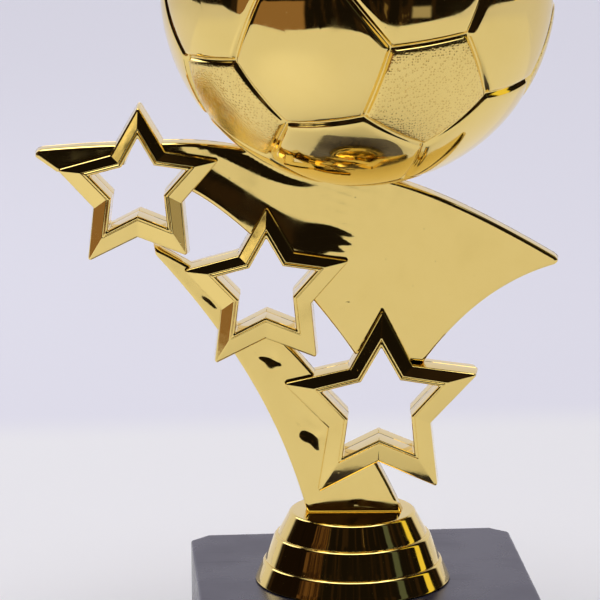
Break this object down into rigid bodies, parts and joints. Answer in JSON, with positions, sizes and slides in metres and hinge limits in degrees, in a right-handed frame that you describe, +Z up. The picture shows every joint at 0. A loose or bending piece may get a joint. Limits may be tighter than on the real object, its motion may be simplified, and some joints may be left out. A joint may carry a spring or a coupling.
{
  "type": "star trophy",
  "caption": "Gold award figure of three open stars on a curved sail and stem, with a football on top, on a stepped riser and a square black base.",
  "frame": {"origin": "middle of the underside of the base pad, on the surface the trophy stands on", "axes": "+Z up, the base is square to X and Y, and the stars face -Y, turned 4.9 degrees towards -X"},
  "size_m": [0.1224, 0.0913, 0.2115],
  "materials": {
    "gold": "plastic with a mirror-bright vacuum-metallised gold coat",
    "black_plastic": "black moulded plastic with a soft sheen",
    "felt": "black felt-faced foam",
    "cast_iron": "raw cast",
    "zinc_steel": "bright zinc plate"
  },
  "bodies": {
    "base": {"base_shell": "black_plastic", "base_cover": "black_plastic", "underside_pad": "felt", "ballast_plate": "cast_iron", "threaded_rod": "zinc_steel", "base_washer": "zinc_steel", "base_nut": "zinc_steel"},
    "figure": {"riser": "gold", "foot_nut": "zinc_steel", "stem_front": "gold", "stem_back": "gold", "sail_front": "gold", "sail_back": "gold", "star_upper_front": "gold", "star_upper_back": "gold", "star_middle_front": "gold", "star_middle_back": "gold", "star_lower_front": "gold", "star_lower_back": "gold", "ball_front": "gold", "ball_back": "gold"}
  },
  "joints": [
    {"name": "figure_turn", "type": "hinge", "parent": "base", "child": "figure", "pos_m": [-0.0026, 0, 0.024], "axis": [0, 0, 1], "continuous": true}
  ]
}
